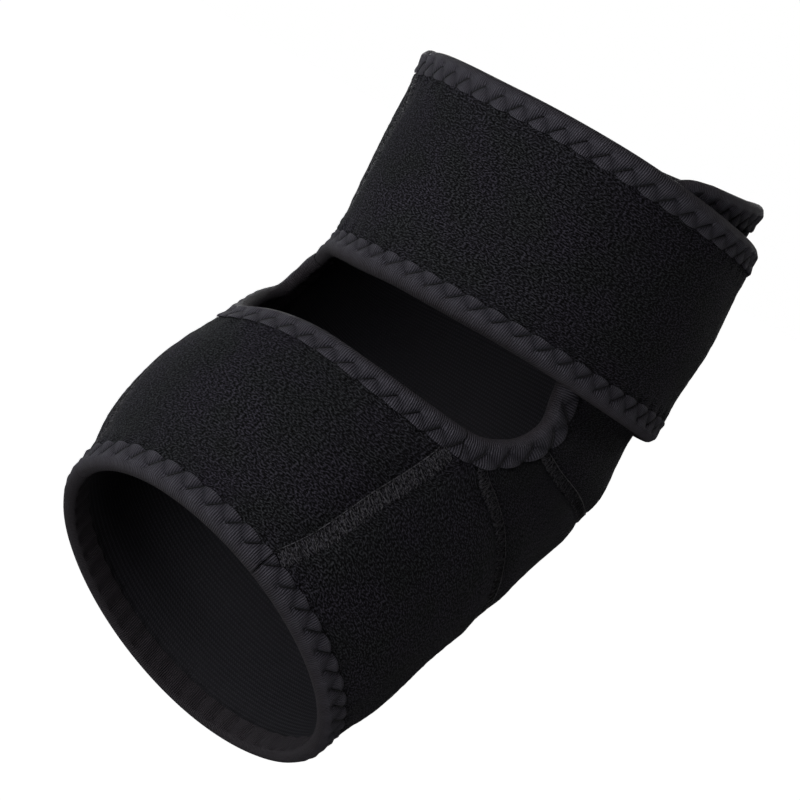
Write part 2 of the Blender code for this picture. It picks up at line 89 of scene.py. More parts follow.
# Cloth, tape and seams
CLOTH = 0.0022
TAPE = 0.0005
TAPE_WIDTH = 0.0068
SEAM_TAPE = 0.0005
FLAT_SEAM_WIDTH = 0.0048
GUSSET_SEAM_WIDTH = 0.0030
SEAM_PULL = 0.0011  # how deep a seam draws the cloth in
SEAM_PULL_WIDTH = 0.0070
SEAM_PULL_START = 0.0088  # from a rim to where it begins
GAP = 0.0003
TAPE_GAP = 0.0004  # between the cloth and the tape folded over it
HEM = CLOTH / 2 + TAPE_GAP + TAPE  # half the thickness of a bound edge
FOLD = 0.9 * HEM  # from a bound edge to where its tape lies flat
CLOTH_INSET = FOLD + TAPE  # from a bound edge to the cloth inside its tape
STRAP_CLIMB = 2 * HEM + GAP - STRAP_PRESS
HOOK = STRAP_CLIMB + STRAP_PRESS - CLOTH - 2 * GAP
ONE_DEGREE = math.radians(HALF_WIDTH)  # its length round the arm

# The fineness of the meshes
CLOTH_STEP = 0.00075
TAPE_STEP = 0.00035
RIBBON_STEP = 0.0004
INSET_STEP = 0.0008
SAME_PLACE = 1e-6  # points of a path that are nearer than this are one
SLOPE_TURN = 0.1  # degrees
SLOPE_LENGTH = 0.0001
SAMPLES = 121
OUTER_COLUMNS = 18  # points across a tape's outer face, its fold and its inner face
OUTER_SPREAD = 0.8  # below 1, the outer ones are closer near the fold
FOLD_COLUMNS = 7
INNER_COLUMNS = 5
THREAD_COLUMNS = 9  # points along one stitch of a zigzag
THREAD_SIDES = 4
SEAM_COLUMNS = 7
SEAM_THREAD_COLUMNS = 6
HOOK_COLUMNS = 40
HOOK_ROWS = 60
SHARP_EDGE = 60.0  # degrees

# Relief of the cloth: its pile, its puffs beside the tapes and its slow unevenness
SEED = 11
LUMP_CELLS = 32
PILE = 0.0002
PILE_ROUGHNESS = 0.00010
PILE_LUMP = 0.0011
PILE_EASE = 2 * TAPE_STEP  # from under a tape to the full pile
RIM_PUFF = 0.00055
RIM_PUFF_WIDTH = 0.0060
NOTCH_PULL = 0.0006  # how deep the stitches draw it in beside a tape
NOTCH_WIDTH = 0.0017
WAVE = 0.00030
WAVE_LUMP = 0.016
LINING_WAVE = 0.00015

# The zigzag stitch that holds the tapes, and what it does to them
STITCH_PITCH = 0.0061
HOLE_AT = 0.0031  # from the rim to the needle holes in the tape
SCALLOP = 0.0008  # the swelling of the tape's edge between two stitches
SCALLOP_INSIDE = 0.6  # the share of it that lies inside the tape's width
SCALLOP_LEAN = 0.8  # below 1, it is fullest before its middle
SCALLOP_BLUNT = 0.6  # below 1, its notches are narrow
NOTCH_AT = TAPE_WIDTH - SCALLOP / 2
TAPE_LIP = 0.00035  # how deep the tape's edge sinks
TAPE_LIP_WIDTH = 0.6 * TAPE
RELIEF_START = 0.4 * FOLD
PUFF = 0.00050
PUFF_WIDTH = 0.3 * STITCH_PITCH
CREASE = 0.00034
CREASE_WIDTH = 0.00042
WEAK_CREASE = 0.30  # the share that every other stitch draws
PIT = 0.00075  # the depth of the needle holes
PIT_WIDTH = 0.00050
THREAD = 0.00018  # the radius of the sewing thread
THREAD_LIFT = 0.7 * THREAD
DIVE = 2 * THREAD  # at its turns, and along every other stitch
DIVE_WIDTH = 0.12  # of a stitch
DIVE_EASE = 0.25  # of a stitch

# The seams and the dips that the cloth makes at them
SEAM_THREAD = 0.00013
SEAM_EDGE = 0.0001  # from a seam's line to the cloth on either side
SEAM_FLATNESS = 0.4  # the share of its height at its edge
GUSSET_DIP = 0.0009
FLAT_DIP = 0.0004
GUSSET_SEAM_RISE = -0.0002
FLAT_SEAM_RISE = 0.0

# The threads that cross a seam. reach: share of its half width. shift: in half pitches. lift:
# in radii of the thread.
SEAM_LAYERS = (
    ("reach", "pitch", "shift", "lift"),
    (1.00, 0.0026, 0.0, 0.0),
    (0.80, 0.0021, 0.6, 0.5),
)

# The scales and colours of the materials
WAVE_UNIT = math.pi / 10  # the pitch of a wave texture whose scale is 1
PILE_SCALE = (1380.0, 2600.0, 1.0)  # loops in a metre round the arm, and along it
MOTTLE_SCALE = 90.0
FIBRE_SCALE = 3200.0
HOOK_SCALE = 800.0
RIB_PITCH = 0.00056
KNIT_PITCH = 0.0008
KNIT_ROW_PITCH = 1.4 * KNIT_PITCH
FIBRE_SHARE = 0.9  # against the ribs
FOLD_SHADE_START, FOLD_SHADE_FULL = 0.44, 0.78  # where the painted shade of the tape's fold begins and where it is full, in centimetres over the tape from its outer edge
CENTIMETRES = 100.0  # in a metre
PILE_DARK = (0.0005, 0.0005, 0.0006)
PILE_MIDDLE = (0.0062, 0.0061, 0.0071)
PILE_LIGHT = (0.0290, 0.0284, 0.0330)
MOTTLE_GREEN = (0.90, 0.97, 0.90)
MOTTLE_PURPLE = (1.08, 1.03, 1.16)
TAPE_DARK = (0.0080, 0.0078, 0.0098)
TAPE_LIGHT = (0.0520, 0.0500, 0.0600)
UNCHANGED = (1.0, 1.0, 1.0)
# painted shade: the tape's colour darkens towards its rounded fold
FOLD_SHADE = (0.42, 0.38, 0.36)
# painted shade in the needle holes and in the creases that the stitches draw
PIT_SHADE = (0.06, 0.06, 0.07)
CREASE_SHADE = (0.50, 0.50, 0.52)
LINING_DARK = (0.006, 0.006, 0.0075)
LINING_LIGHT = (0.017, 0.017, 0.020)
HOOK_DARK = (0.004, 0.004, 0.005)
HOOK_LIGHT = (0.020, 0.020, 0.022)
THREAD_DARK = (0.0012, 0.0012, 0.0014)
THREAD_LIGHT = (0.0040, 0.0039, 0.0046)
SEAM_DARK = (0.0010, 0.0010, 0.0012)
SEAM_LIGHT = (0.0560, 0.0550, 0.0600)
GUSSET_SEAM_LIGHT = (0.0210, 0.0206, 0.0230)

# The photograph's camera: its direction from the elbow's centre, its roll, and how far left
# of and below the middle of its view the centre lies, as shares of the distance
CAMERA_AZIMUTH = 34.77
CAMERA_ELEVATION = 7.77
CAMERA_ROLL = 27.12
CAMERA_DISTANCE = 0.750
CAMERA_LENS = 129.94  # millimetres
CAMERA_SENSOR = 36.0
ORIGIN_LEFT = -0.02325
ORIGIN_LOW = -0.00678

# The stage. The lights look at CENTRE from azimuths that start at the front and go over +X.
FLOOR_SIZE = 40.0
FLOOR_HEIGHT = -1.6
FLOOR_COLOUR = (0.9, 0.9, 0.9, 1.0)
WHITE = (1.0, 1.0, 1.0, 1.0)
WORLD_LIGHT = 0.02
CENTRE = Vector((0.0, -0.02, 0.0))
LIGHT_DISTANCE = 1.6
LIGHT_SIZE = 1.1
LIGHTS = (
    ("name", "azimuth", "elevation", "power", "colour"),
    ("left", -120.0, 10.0, 6.0, (0.95, 1.0, 1.0)),
    ("low_left", -62.0, -25.0, 7.0, (0.96, 0.99, 1.0)),
    ("key", -30.0, 28.0, 11.0, (0.97, 0.98, 1.0)),
    ("low_front", 10.0, -25.0, 8.5, (0.98, 0.97, 1.0)),
    ("front", 10.0, 10.0, 11.5, (0.99, 0.96, 1.0)),
    ("top", 40.0, 78.0, 7.0, (1.0, 0.96, 1.0)),
    ("low_right", 130.0, -45.0, 5.6, (1.0, 0.96, 1.0)),
    ("back", 175.0, 20.0, 4.0, (1.0, 1.0, 1.0)),
    ("behind", -145.0, 10.0, 12.0, (1.0, 1.0, 1.0)),
)

# Sections of the arm. along: share of the forearm's length below the elbow's centre and of
# the upper length above it. near, far: shares of the half width. front, back: of the depths.
SECTIONS = (
    ("along", "near", "far", "front", "back"),
    (-1.20, 0.905, 0.837, 0.900, 0.941),
    (-1.00, 0.909, 0.859, 0.926, 0.939),
    (-0.92, 0.917, 0.896, 0.969, 0.934),
    (-0.80, 0.972, 1.020, 1.031, 0.932),
    (-0.60, 0.986, 1.055, 1.133, 0.874),
    (-0.42, 1.000, 0.965, 1.112, 0.886),
    (-0.24, 0.974, 0.986, 1.128, 0.883),
    (-0.06, 0.976, 0.976, 1.026, 0.944),
    (0.16, 0.948, 0.912, 0.976, 0.952),
    (0.30, 0.943, 0.960, 0.933, 1.019),
    (0.45, 0.968, 0.979, 0.905, 1.050),
    (0.67, 0.966, 0.983, 0.899, 1.039),
    (0.90, 0.961, 0.964, 0.903, 1.003),
    (1.00, 0.982, 0.984, 0.870, 1.006),
    (1.21, 0.995, 0.997, 0.848, 1.009),
)

# The panel's free front edge, downwards. turn: degrees. rise: share of the upper length.
FRONT_EDGE = (
    ("turn", "rise"),
    (78.0, 1.000), (68.0, 0.985), (60.0, 0.935), (53.5, 0.850), (50.5, 0.710),
    (52.0, 0.550), (57.8, 0.370), (62.4, 0.180), (64.1, 0.020),
)

# The rim goes on round the window to the strap's root. drop: share of the window's drop.
WINDOW_EDGE = (
    ("turn", "drop"),
    (64.4, 0.210), (63.4, 0.430), (60.3, 0.590), (56.8, 0.690), (51.8, 0.765),
    (44.0, 0.835), (32.0, 0.915), (18.0, 0.975), (2.0, 1.010), (-14.0, 1.050),
    (-28.0, 1.070), (-40.0, 1.000), (-50.2, 0.820), (-58.5, 0.600), (-62.8, 0.420),
    (-60.6, 0.270), (-57.8, 0.120), (-55.7, 0.020),
)

# The upper strap's lower edge from its root on. rise: share of its height on the near side.
STRAP_LOWER = (
    ("turn", "rise"),
    (-48.0, 0.26), (-38.0, 0.33), (-27.0, 0.25), (-14.0, 0.19), (0.0, 0.52),
    (14.0, 0.76), (28.0, 0.91), (42.0, 0.98), (58.0, 1.00), (80.0, 1.00),
)

# The gusset's seams from the window to the back of the elbow. The far half mirrors them.
GUSSET_LOWER_SEAM = (
    ("turn", "drop"),
    (56.0, 0.69), (61.0, 0.80), (66.0, 0.85), (74.0, 0.85), (84.0, 0.88),
    (96.0, 0.96), (112.0, 1.03), (132.0, 1.09), (156.0, 1.13), (180.0, 1.15),
)
GUSSET_UPPER_SEAM = (
    ("turn", "drop"),
    (63.0, 0.27), (68.0, 0.31), (74.0, 0.32), (82.0, 0.30), (94.0, 0.26),
    (110.0, 0.23), (132.0, 0.18), (156.0, 0.14), (180.0, 0.12),
)


def smooth(x):
    x = np.clip(x, 0.0, 1.0)
    return x * x * (3.0 - 2.0 * x)


def bell(distance, width):
    return np.exp(-((distance / width) ** 2))


def hermite(x, knots, values):
    """A smooth curve through the values at the knots."""
    slopes = np.gradient(values, knots)
    i = np.clip(np.searchsorted(knots, x) - 1, 0, len(knots) - 2)
    h = knots[i + 1] - knots[i]
    u = np.clip((x - knots[i]) / h, 0.0, 1.0)
    start = values[i] * (1 + 2 * u) + h * slopes[i] * u
    end = values[i + 1] * (3 - 2 * u) - h * slopes[i + 1] * (1 - u)
    return start * (1 - u) ** 2 + end * u**2


LUMPS = np.random.default_rng(SEED).uniform(-1.0, 1.0, (LUMP_CELLS,) * 3)


def noise(points, lump):
    """Smooth unevenness from -1 to 1, with lumps of a size."""
    cell = np.floor(points / lump).astype(int)
    share = smooth(points / lump - cell)
    total = np.zeros(points.shape[:-1])
    for corner in np.ndindex(2, 2, 2):
        weight = np.where(corner, share, 1 - share).prod(-1)
        i = (cell + corner) % LUMP_CELLS
        total += weight * LUMPS[i[..., 0], i[..., 1], i[..., 2]]
    return total


# The arm's form

def spine_table():
    """The bent axis of the arm: distance, y, z and the angle from the vertical."""
    flexion = math.radians(FLEXION)
    s = np.linspace(BEND_LENGTH / 2, -BEND_LENGTH / 2, SAMPLES)
    lean = flexion * smooth(0.5 - s / BEND_LENGTH)
    step = s[0] - s[1]
    middle = (lean[1:] + lean[:-1]) / 2
    y = -np.concatenate(([0.0], np.cumsum(np.sin(middle)))) * step
    z = -np.concatenate(([0.0], np.cumsum(np.cos(middle)))) * step
    crossing = z[-1] - y[-1] / math.tan(flexion)
    return s[::-1], y[::-1], (z - crossing)[::-1], lean[::-1]


SPINE_S, SPINE_Y, SPINE_Z, SPINE_LEAN = spine_table()
SECTION_ROWS = np.array(SECTIONS[1:])
SECTION_S = SECTION_ROWS[:, 0] * np.where(SECTION_ROWS[:, 0] < 0, FOREARM_LENGTH, UPPER_LENGTH)


def section(s, column):
    """A column of SECTIONS, anywhere along the arm."""
    return hermite(s, SECTION_S, SECTION_ROWS[:, column])


def form(path):
    """Points on the arm's form, in the middle of the cloth that lies on it."""
    theta = np.radians(path[..., 0])
    s = path[..., 1]
    lean = np.interp(s, SPINE_S, SPINE_LEAN)
    past = s - np.clip(s, SPINE_S[0], SPINE_S[-1])
    y = np.interp(s, SPINE_S, SPINE_Y) + past * np.sin(lean)
    z = np.interp(s, SPINE_S, SPINE_Z) + past * np.cos(lean)
    side = HALF_WIDTH * np.where(np.sin(theta) > 0, section(s, 1), section(s, 2)) - CLOTH / 2
    front = FRONT_DEPTH * section(s, 3) - CLOTH / 2
    back = BACK_DEPTH * section(s, 4) - CLOTH / 2
    reach = np.where(np.cos(theta) > 0, front, back) * np.cos(theta)
    return np.stack((side * np.sin(theta), y - reach * np.cos(lean), z + reach * np.sin(lean)), -1)


def unit(vectors):
    return vectors / np.linalg.norm(vectors, axis=-1, keepdims=True)


def tangents(path):
    """How the form runs with a path's two columns, and its outward normal."""
    turn = (SLOPE_TURN, 0)
    length = (0, SLOPE_LENGTH)
    by_turn = (form(path + turn) - form(path - turn)) / (2 * SLOPE_TURN)
    by_length = (form(path + length) - form(path - length)) / (2 * SLOPE_LENGTH)
    return by_turn, by_length, unit(np.cross(by_turn, by_length))


# Paths on the arm

def smooth_path(rows, steps=12):
    """A smooth path through the rows of a table."""
    knots = np.arange(len(rows), dtype=float)
    x = np.linspace(0, len(rows) - 1, (len(rows) - 1) * steps + 1)
    return np.stack((hermite(x, knots, rows[:, 0]), hermite(x, knots, rows[:, 1])), -1)


def run(points):
    """How far along a line each of its points lies."""
    return np.concatenate(([0.0], np.cumsum(np.linalg.norm(np.diff(points, axis=0), axis=1))))


def lengths(path):
    return run(form(path))


def at(path, distance):
    x, distance = lengths(path), np.atleast_1d(distance)
    return np.stack((np.interp(distance, x, path[:, 0]), np.interp(distance, x, path[:, 1])), -1)


def place(path, turn, s):
    """How far along a path the point of it nearest to a given one lies."""
    apart = np.linalg.norm(form(path) - form(np.array((turn, s))), axis=-1)
    return lengths(path)[apart.argmin()]


def nearest(path, turn, s):
    return at(path, place(path, turn, s))


def part_of(path, start, end):
    """The stretch of a path between two distances along it."""
    x = lengths(path)
    inside = path[(x > start + SAME_PLACE) & (x < end - SAME_PLACE)]
    return np.concatenate((at(path, start), inside, at(path, end)))


def trimmed(path, start, end):
    """A path with a length cut off at each end."""
    return part_of(path, start, lengths(path)[-1] - end)


def even(path, step=None, count=None):
    """A path with its points evenly apart."""
    total = lengths(path)[-1]
    return at(path, np.linspace(0, total, count or round(total / step) + 1))


def inset(path, distance):
    """A path moved to its left over the arm by a distance, in short steps."""
    steps = max(1, math.ceil(abs(distance) / INSET_STEP))
    for _ in range(steps):
        path = sidestep(path, distance / steps)
    return path


def sidestep(path, distance):
    by_turn, by_length, normal = tangents(path)
    left = np.cross(normal, unit(np.gradient(form(path), lengths(path), axis=0)))
    turn = (left * by_turn).sum(1) / (by_turn**2).sum(1)
    length = (left * by_length).sum(1) / (by_length**2).sum(1)
    return path + distance * np.stack((turn, length), -1)


def far(path):
    """The same path one turn further round, for a piece that passes behind the arm."""
    return path + (360.0, 0.0)


# The rims

def strap_top(turn):
    """How high the upper strap's top edge lies at an angle."""
    drop = STRAP_TOP_DROP * (1 - np.cos(np.radians(turn - STRAP_TOP_PEAK)))
    to_root = (STRAP_TOP_LIFT_TURN - turn) / (STRAP_TOP_LIFT_TURN - ROOT_TOP_TURN)
    return UPPER_LENGTH - drop + STRAP_TOP_LIFT * smooth(to_root)


def body_rim():
    """The panel's top edge from the strap's root to the near corner, and on round the window."""
    front = np.array(FRONT_EDGE[1:]) * (1, UPPER_LENGTH)
    window = np.array(WINDOW_EDGE[1:]) * (1, -WINDOW_DROP)
    turn = np.linspace(ROOT_TOP_TURN + 360.0, front[0, 0], SAMPLES)
    to_root = smooth((turn - front[0, 0]) / (turn[0] - front[0, 0]))
    height = UPPER_LENGTH + (strap_top(ROOT_TOP_TURN) - UPPER_LENGTH) * to_root
    dip = TOP_DIP * smooth((turn - TOP_DIP_TURN) / TOP_DIP_EASE)
    dip *= smooth((turn[0] - turn) / TOP_DIP_EASE)
    top = np.stack((turn, height - dip), -1)
    return np.concatenate((top[:-1], smooth_path(np.concatenate((front, window)))))


def strap_rim(root):
    """The strap's lower edge, its free end with round corners, and its top edge."""
    rows = np.array(STRAP_LOWER[1:]) * (1, STRAP_LOWER_EDGE)
    lower = smooth_path(np.concatenate((root, rows)))
    centre = STRAP_END - STRAP_CORNER / ONE_DEGREE
    arc = np.radians(np.linspace(0, 90, SAMPLES // 6))
    corner = STRAP_CORNER * np.stack((np.sin(arc) / ONE_DEGREE, 1 - np.cos(arc)), -1)
    low_corner = (centre, STRAP_LOWER_EDGE) + corner
    high_corner = (centre, strap_top(centre)) + corner[::-1] * (1, -1)
    level = np.linspace(lower[-1], low_corner[0], SAMPLES)[1:-1]
    end = np.linspace(low_corner[-1], high_corner[0], SAMPLES // 3)[1:-1]
    turn = np.linspace(centre, ROOT_TOP_TURN, SAMPLES)[1:]
    top = np.stack((turn, strap_top(turn)), -1)
    return np.concatenate((lower, level, low_corner, end, high_corner, top))


def cuff_rim(start, end):
    turn = np.linspace(start, end, SAMPLES)
    angle = np.radians(turn)
    lift = CUFF_LIFT * np.cos(angle) + CUFF_TILT * np.sin(angle)
    return np.stack((turn, lift - FOREARM_LENGTH), -1)


BODY = body_rim()
STRAP = strap_rim(BODY[-1:])
CUFF = cuff_rim(-180.0, 180.0)
WINDOW = part_of(BODY, place(BODY, WINDOW_TURN, 0.0), lengths(BODY)[-1])


# The seams

def gusset_seam(table):
    """A seam from the window's near rim round the elbow to its far rim."""
    near = np.array(table[1:]) * (1, -WINDOW_DROP)
    rows = np.concatenate((near, far(near[-2::-1] * (-1, 1))))
    start = nearest(BODY, *rows[0])
    end = far(nearest(BODY, *rows[-1]))
    return smooth_path(np.concatenate((start, rows[1:-1], end)))


def straight_seam(low, high):
    return low + (high - low) * np.linspace(0, 1, SAMPLES // 2)[:, None]


def lower_strap_seam(cuff_turn, window_turn, bow):
    """A seam from the cuff to the window, bowed round the arm in its middle."""
    rim = WINDOW[np.abs(WINDOW[:, 0] - window_turn).argmin()]
    path = straight_seam(nearest(CUFF, cuff_turn, -FOREARM_LENGTH), rim[None])
    share = np.linspace(0, 1, len(path))
    path[:, 0] += 4 * bow * share * (1 - share)
    return path


GUSSET_LOWER = gusset_seam(GUSSET_LOWER_SEAM)
GUSSET_UPPER = gusset_seam(GUSSET_UPPER_SEAM)
SEAM_NEAR = lower_strap_seam(SEAM_NEAR_CUFF_TURN, SEAM_NEAR_WINDOW_TURN, SEAM_NEAR_BOW)
SEAM_FAR = lower_strap_seam(SEAM_FAR_CUFF_TURN, SEAM_FAR_WINDOW_TURN, 0.0)
ROOT = straight_seam(STRAP[:1], STRAP[-1:])
SEAMS = (GUSSET_LOWER, GUSSET_UPPER, SEAM_NEAR, SEAM_FAR, ROOT)
FLAT_SEAMS = (False, False, True, True, True)


# Distances on the arm

def search_tree(points):
    tree = kdtree.KDTree(len(points))
    for i, point in enumerate(points):
        tree.insert(point, i)
    tree.balance()
    return tree


def look_up(tree, points):
    """For each point, which point of the tree is nearest and how far it is."""
    found = [tree.find(p)[1:] for p in points.reshape(-1, 3).tolist()]
    index, apart = np.array(found).T
    return index.astype(int).reshape(points.shape[:-1]), apart.reshape(points.shape[:-1])


SEAM_LINES = [form(even(seam, TAPE_STEP)) for seam in SEAMS]
SEAM_TREE = search_tree(np.concatenate(SEAM_LINES))
SEAM_IS_FLAT = np.repeat(FLAT_SEAMS, [len(line) for line in SEAM_LINES])
RIM_TREE = search_tree(np.concatenate([form(even(rim, TAPE_STEP)) for rim in (BODY, STRAP, CUFF)]))


# The layers that lie on the arm

def seam_pull(path):
    """How deep the seams draw the cloth in, which fades out under the tape of a rim."""
    points = form(path)
    near_seam = np.clip(1 - look_up(SEAM_TREE, points)[1] / SEAM_PULL_WIDTH, 0, 1)
    past_tape = look_up(RIM_TREE, points)[1] - SEAM_PULL_START
    return SEAM_PULL * near_seam * smooth(past_tape / TAPE_WIDTH)


def press(path):
    """How deep the upper strap presses the body, under it and fading out round it."""
    turn, s = path[..., 0], path[..., 1]
    above = smooth((s - STRAP_LOWER_EDGE) / PRESS_FADE + 1 + EARLY)
    before_end = smooth((STRAP_END - turn) / STRAP_RAMP + 1 + EARLY)
    return STRAP_PRESS * above * before_end * (turn > 0)


def climb(path):
    """How high the upper strap lies, after its ramp up to the panel's front edge."""
    turn, rise = np.array(FRONT_EDGE[:0:-1]).T
    edge = np.interp(path[..., 1], rise * UPPER_LENGTH, turn)
    return STRAP_CLIMB * smooth((path[..., 0] - edge) / STRAP_RAMP + 1 + EARLY)


def body_layer(path):
    """The middle of the body's cloth, and its outward normals."""
    normal = tangents(path)[2]
    return form(path) - (press(path) + seam_pull(path))[..., None] * normal, normal


def strap_layer(path):
    normal = tangents(path)[2]
    return form(path) + (climb(path) - seam_pull(path))[..., None] * normal, normal


# The tapes and their stitches

def tape_edge(ribbon, along):
    """How wide the tape is, with a swelling between each two notches of the stitch."""
    leaf = (along / ribbon.pitch + 0.5) % 1
    swelling = np.sin(np.pi * leaf**SCALLOP_LEAN) ** SCALLOP_BLUNT
    return TAPE_WIDTH + SCALLOP * (swelling - SCALLOP_INSIDE)


def to_segment(x, y, start, end):
    """The distance from points to a straight line between two others."""
    (x0, y0), (x1, y1) = start, end
    share = ((x - x0) * (x1 - x0) + (y - y0) * (y1 - y0)) / ((x1 - x0) ** 2 + (y1 - y0) ** 2)
    share = np.clip(share, 0, 1)
    return np.hypot(x - x0 - share * (x1 - x0), y - y0 - share * (y1 - y0))


def tape_relief(ribbon, along, across):
    """The height of a tape's puffs and of the creases that its stitches draw."""
    x = along % ribbon.pitch
    half = ribbon.pitch / 2
    strong = np.minimum(
        to_segment(x, across, (0, HOLE_AT), (half, NOTCH_AT)),
        to_segment(x, across, (2 * half, HOLE_AT), (3 * half, NOTCH_AT)),
    )
    weak = np.minimum(
        to_segment(x, across, (-half, NOTCH_AT), (0, HOLE_AT)),
        to_segment(x, across, (half, NOTCH_AT), (2 * half, HOLE_AT)),
    )
    hole = np.hypot(np.minimum(x, ribbon.pitch - x), across - HOLE_AT)
    puff = PUFF * (1 - bell(np.minimum(strong, weak), PUFF_WIDTH))
    drawn = CREASE * (bell(strong, CREASE_WIDTH) + WEAK_CREASE * bell(weak, CREASE_WIDTH))
    off_fold = smooth((across - RELIEF_START) / FOLD)
    return off_fold * np.maximum(puff - drawn - PIT * bell(hole, PIT_WIDTH), -TAPE_GAP)


def cloth_relief(ribbons, points):
    """The height of the pile: none under a tape, full beside it, and drawn in at its notches."""
    found = [look_up(ribbon.tree, points) for ribbon in ribbons]
    across = np.array([apart for _, apart in found])
    which = across.argmin(0)
    height = PILE + WAVE * noise(points, WAVE_LUMP) + PILE_ROUGHNESS * noise(points, PILE_LUMP)
    for i, ribbon in enumerate(ribbons):
        along = ribbon.along[found[i][0]]
        beyond = across[i] - tape_edge(ribbon, along)
        to_notch = (along / ribbon.pitch) % 1 - 0.5
        notch = np.hypot(to_notch * ribbon.pitch, across[i] - TAPE_WIDTH - NOTCH_WIDTH / 2)
        puff = RIM_PUFF * smooth(1 - beyond / RIM_PUFF_WIDTH)
        beside = height + puff - NOTCH_PULL * bell(notch, NOTCH_WIDTH)
        height = np.where(which == i, beside * smooth(beyond / PILE_EASE + 1), height)
    return height


# The making of meshes

def put(name, data):
    obj = bpy.data.objects.new(name, data)
    bpy.context.scene.collection.objects.link(obj)
    return obj


def put_mesh(name, points, faces, materials, face_material=None, uv=None, relief=None):
    mesh = bpy.data.meshes.new(name)
    mesh.from_pydata(points.tolist(), [], faces)
    for material in materials:
        mesh.materials.append(material)
    if face_material is not None:
        mesh.polygons.foreach_set("material_index", face_material)
    if uv is not None:
        corner = np.zeros(len(mesh.loops), dtype=np.int32)
        mesh.loops.foreach_get("vertex_index", corner)
        layer = mesh.uv_layers.new(name="cloth")
        layer.data.foreach_set("uv", uv[corner].astype(np.float32).ravel())
    if relief is not None:
        attribute = mesh.attributes.new("relief", "FLOAT", "POINT")
        attribute.data.foreach_set("value", relief.astype(np.float32))
    mesh.shade_smooth()
    mesh.set_sharp_from_angle(angle=math.radians(SHARP_EDGE))
    return put(name, mesh)


def closed_faces(rows, columns):
    """The faces of a net whose rows are rings, with a face over each end."""
    number = np.arange(rows * columns).reshape(rows, columns)
    after = np.roll(number, -1, axis=1)
    walls = np.stack((number[:-1], number[1:], after[1:], after[:-1]), -1).reshape(-1, 4)
    return walls.tolist() + [number[0].tolist(), number[-1, ::-1].tolist()]


def shell(name, outer, inner, uv, materials):
    """A closed sheet between two nets of points, the first with its faces outwards."""
    rows, columns = outer.shape[:2]
    count = rows * columns
    number = np.arange(count).reshape(rows, columns)
    border = np.concatenate((number[0, :-1], number[:-1, -1], number[-1, :0:-1], number[:0:-1, 0]))
    after = np.roll(border, -1)
    front = np.stack((number[:-1, :-1], number[:-1, 1:], number[1:, 1:], number[1:, :-1]), -1)
    front = front.reshape(-1, 4)
    sides = np.stack((border, border + count, after + count, after), -1)
    faces = np.concatenate((front, front[:, ::-1] + count, sides))
    kind = np.repeat((0, 1, 0), (len(front), len(front), len(sides)))
    points = np.concatenate((outer.reshape(-1, 3), inner.reshape(-1, 3)))
    uv = np.concatenate((uv.reshape(-1, 2),) * 2)
    return put_mesh(name, points, faces.tolist(), materials, kind, uv)


def tube(points, normals, radius):
    """The points and faces of a thread along a line, with its two ends closed."""
    ahead = unit(np.gradient(points, axis=0))
    across = unit(np.cross(ahead, normals))
    up = np.cross(across, ahead)
    angle = np.arange(THREAD_SIDES)[:, None, None] * 2 * np.pi / THREAD_SIDES
    rings = points + radius * (np.cos(angle) * across + np.sin(angle) * up)
    return rings.transpose(1, 0, 2).reshape(-1, 3), closed_faces(len(points), THREAD_SIDES)


def join_tubes(name, tubes, material):
    points, faces, start = [], [], 0
    for part_points, part_faces in tubes:
        points.append(part_points)
        faces.extend([[i + start for i in face] for face in part_faces])
        start += len(part_points)
    return put_mesh(name, np.concatenate(points), faces, [material])


def dress(piece, slot, *nodes):
    """The piece rides on the support's one body and stands for CAD nodes."""
    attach(piece, "root")
    if nodes:
        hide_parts(*nodes)
    return piece


# The sheets of cloth

def patch(low, high, left, right):
    """A net of points between four edges, whose corners are those of low and high."""
    left, right = left.copy(), right.copy()
    left[0], left[-1], right[0], right[-1] = low[0], high[0], low[-1], high[-1]
    t = np.linspace(0, 1, len(left))[:, None, None]
    v = np.linspace(0, 1, len(low))[None, :, None]
    between = (1 - t) * low + t * high
    left_bow = left[:, None] - between[:, :1]
    right_bow = right[:, None] - between[:, -1:]
    return between + (1 - v) * left_bow + v * right_bow


def net_between(low, high, left, right):
    """A fine net between four edges, as fine as the longest of each pair asks."""
    columns = round(max(lengths(low)[-1], lengths(high)[-1]) / CLOTH_STEP)
    rows = round(max(lengths(left)[-1], lengths(right)[-1]) / CLOTH_STEP)
    low, high = even(low, count=columns), even(high, count=columns)
    return patch(low, high, even(left, count=rows), even(right, count=rows))


def seam_dip(points):
    """How far the cloth rounds down into a seam."""
    index, apart = look_up(SEAM_TREE, points)
    flat = FLAT_DIP * bell(apart, FLAT_SEAM_WIDTH / 2)
    gusset = GUSSET_DIP * bell(apart, GUSSET_SEAM_WIDTH / 2)
    return np.where(SEAM_IS_FLAT[index], flat, gusset)


def lay_cloth(name, layer, edges, ribbons):
    """A sheet of cloth between four edges, with its relief outside and a lining inside."""
    net = net_between(*edges)
    base, normal = layer(net)
    relief = cloth_relief(ribbons, base) - seam_dip(base)
    outer = base + (CLOTH / 2 + relief)[..., None] * normal
    inner = base - (CLOTH / 2 + LINING_WAVE * noise(base, WAVE_LUMP))[..., None] * normal
    rows, columns = net.shape[:2]
    along, up = run(base[rows // 2]), run(base[:, columns // 2])
    uv = np.stack(np.broadcast_arrays(along[None], up[:, None]), -1)
    piece = shell(name + "_cloth", outer, inner, uv, [MATERIALS["pile"], MATERIALS["lining"]])
    dress(piece, "pile_cloth", name)


# The tapes

